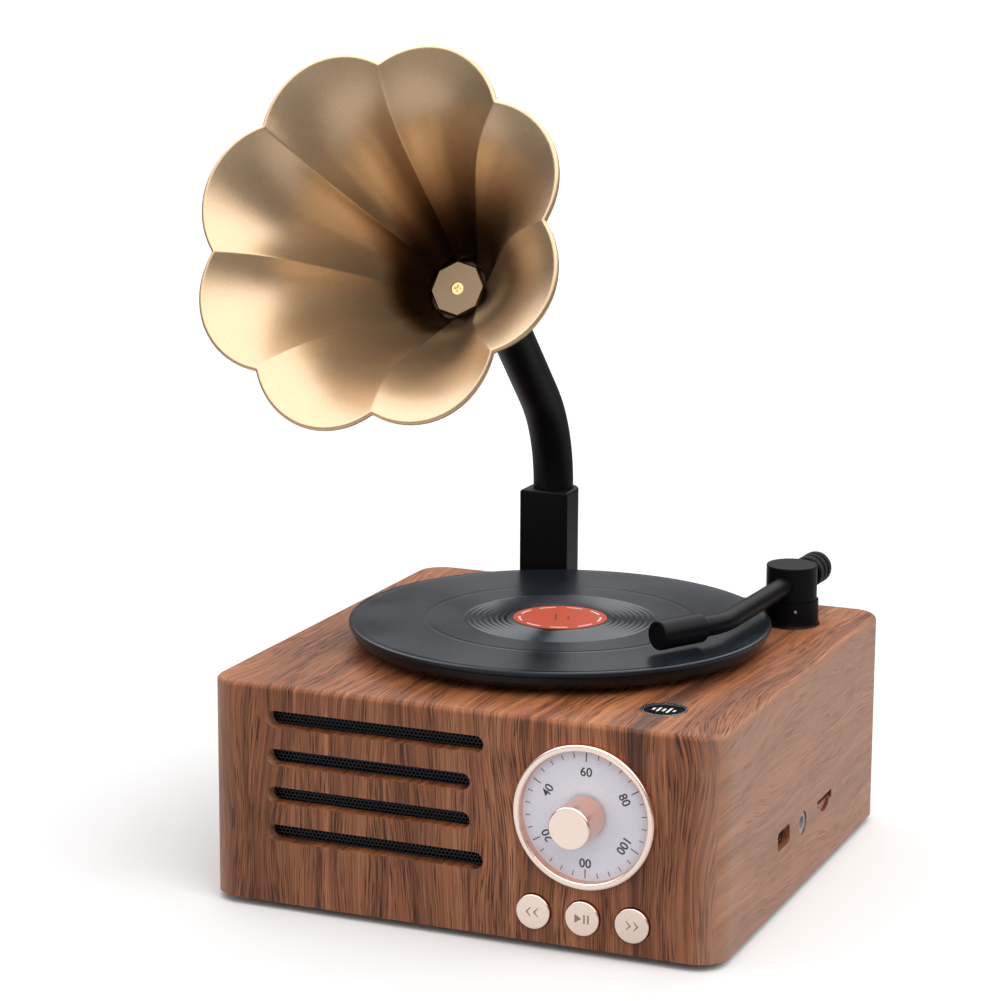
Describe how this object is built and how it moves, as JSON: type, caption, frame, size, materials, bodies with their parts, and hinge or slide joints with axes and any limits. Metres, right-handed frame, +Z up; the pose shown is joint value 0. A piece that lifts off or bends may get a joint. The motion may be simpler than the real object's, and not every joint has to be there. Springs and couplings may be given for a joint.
{
  "type": "horn loudspeaker",
  "caption": "Gramophone-styled wireless speaker: wooden box with slotted front, dial, keys, spinning record, swinging tonearm and a petalled horn on a bent arm.",
  "frame": {"origin": "centre of the four-foot stance, on the surface the feet rest on, midway between the box's sides, front and back", "axes": "+Z up; front (slots, dial, keys, horn mouth) faces -Y; sockets on the +X side"},
  "size_m": [0.1473, 0.151, 0.2218],
  "materials": {
    "walnut": "open-grained veneer, satin oil",
    "black_plastic": "fine moulded texture",
    "black_satin": "smooth satin moulding",
    "rubber": "matt",
    "steel": "zinc plated",
    "gilt_steel": "gold plated",
    "black_metal": "matt black powder coat",
    "ferrite": "matt sintered",
    "spider_cloth": "resin-stiffened cloth",
    "circuit_board": "green solder mask",
    "battery_sleeve": "shrink sleeve",
    "jack_plastic": "moulded",
    "rose_gold": "satin rose-gold anodised",
    "dial_face": "satin pale grey with printed scale",
    "badge_metal": "polished",
    "badge_enamel": "gloss",
    "bearing_bronze": "sintered bronze",
    "horn_metal": "satin champagne-gold anodised",
    "nylon": "natural nylon",
    "vinyl": "satin black with grooves",
    "label_paper": "printed orange-red paper",
    "cone_paper": "felted black paper",
    "copper_wire": "enamelled winding"
  },
  "bodies": {
    "chassis": {"cabinet": "walnut", "port_panel": "walnut", "base_plate": "black_plastic", "battery_cradle": "black_plastic", "tonearm_collar": "black_satin", "rubber_feet": "rubber", "speaker_surround": "rubber", "base_screws": "steel", "speaker_screws": "steel", "bracket_screws": "steel", "post_screws": "steel", "horn_screw": "gilt_steel", "tonearm_nut": "steel", "pot_nut": "steel", "idler_pin": "steel", "drive_bracket": "steel", "motor_can": "steel", "usb_socket": "steel", "card_socket": "steel", "speaker_yoke": "steel", "grille_mesh": "black_metal", "speaker_frame": "black_metal", "speaker_magnet": "ferrite", "speaker_spider": "spider_cloth", "main_board": "circuit_board", "button_board": "circuit_board", "battery": "battery_sleeve", "audio_jack": "jack_plastic", "volume_pot": "steel", "tact_switches": "jack_plastic", "dial_bezel": "rose_gold", "dial_plate": "dial_face", "badge_ring": "badge_metal", "badge_disc": "badge_enamel", "spindle_bearing": "bearing_bronze", "horn_post": "black_satin", "horn_arm": "black_satin", "horn_bell": "horn_metal", "throat_plate": "horn_metal"},
    "turntable": {"spindle": "steel", "spindle_clip": "steel", "platter_gear": "nylon", "platter": "black_plastic", "record": "vinyl", "record_label": "label_paper"},
    "idler": {"idler_gear": "nylon"},
    "motor_rotor": {"motor_pinion": "bearing_bronze"},
    "tonearm": {"tonearm_cap": "black_satin", "tonearm_screw": "steel", "tonearm_tube": "black_satin", "headshell": "black_satin", "counterweight": "black_satin"},
    "volume_control": {"volume_knob": "rose_gold", "pot_shaft": "steel"},
    "previous_key": {"previous_button": "rose_gold"},
    "play_key": {"play_button": "rose_gold"},
    "next_key": {"next_button": "rose_gold"},
    "driver_cone": {"speaker_cone": "cone_paper", "dust_cap": "cone_paper", "voice_coil": "copper_wire"}
  },
  "joints": [
    {"name": "record_spin", "type": "hinge", "parent": "chassis", "child": "turntable", "pos_m": [0, 0, 0.06], "axis": [0, 0, 1], "continuous": true},
    {"name": "idler_spin", "type": "hinge", "parent": "chassis", "child": "idler", "pos_m": [0, 0.015, 0.05], "axis": [0, 0, 1], "continuous": true},
    {"name": "motor_spin", "type": "hinge", "parent": "chassis", "child": "motor_rotor", "pos_m": [0, 0.028, 0.05], "axis": [0, 0, 1], "continuous": true},
    {"name": "tonearm_swing", "type": "hinge", "parent": "chassis", "child": "tonearm", "pos_m": [0.0504, 0.046, 0.0716], "axis": [0, 0, -1], "range_deg": [-20, 22]},
    {"name": "volume_turn", "type": "hinge", "parent": "chassis", "child": "volume_control", "pos_m": [0.0347, -0.07, 0.0363], "axis": [0, 1, 0], "range_deg": [-150, 150]},
    {"name": "previous_press", "type": "slide", "parent": "chassis", "child": "previous_key", "axis": [0, 1, 0], "range_m": [0, 0.0008]},
    {"name": "play_press", "type": "slide", "parent": "chassis", "child": "play_key", "axis": [0, 1, 0], "range_m": [0, 0.0008]},
    {"name": "next_press", "type": "slide", "parent": "chassis", "child": "next_key", "axis": [0, 1, 0], "range_m": [0, 0.0008]},
    {"name": "cone_travel", "type": "slide", "parent": "chassis", "child": "driver_cone", "axis": [0, 1, 0], "range_m": [-0.0005, 0.0005]}
  ],
  "couplings": [
    {"joint": "idler_spin", "follows": "record_spin", "ratio": -4},
    {"joint": "motor_spin", "follows": "record_spin", "ratio": 13.333}
  ]
}
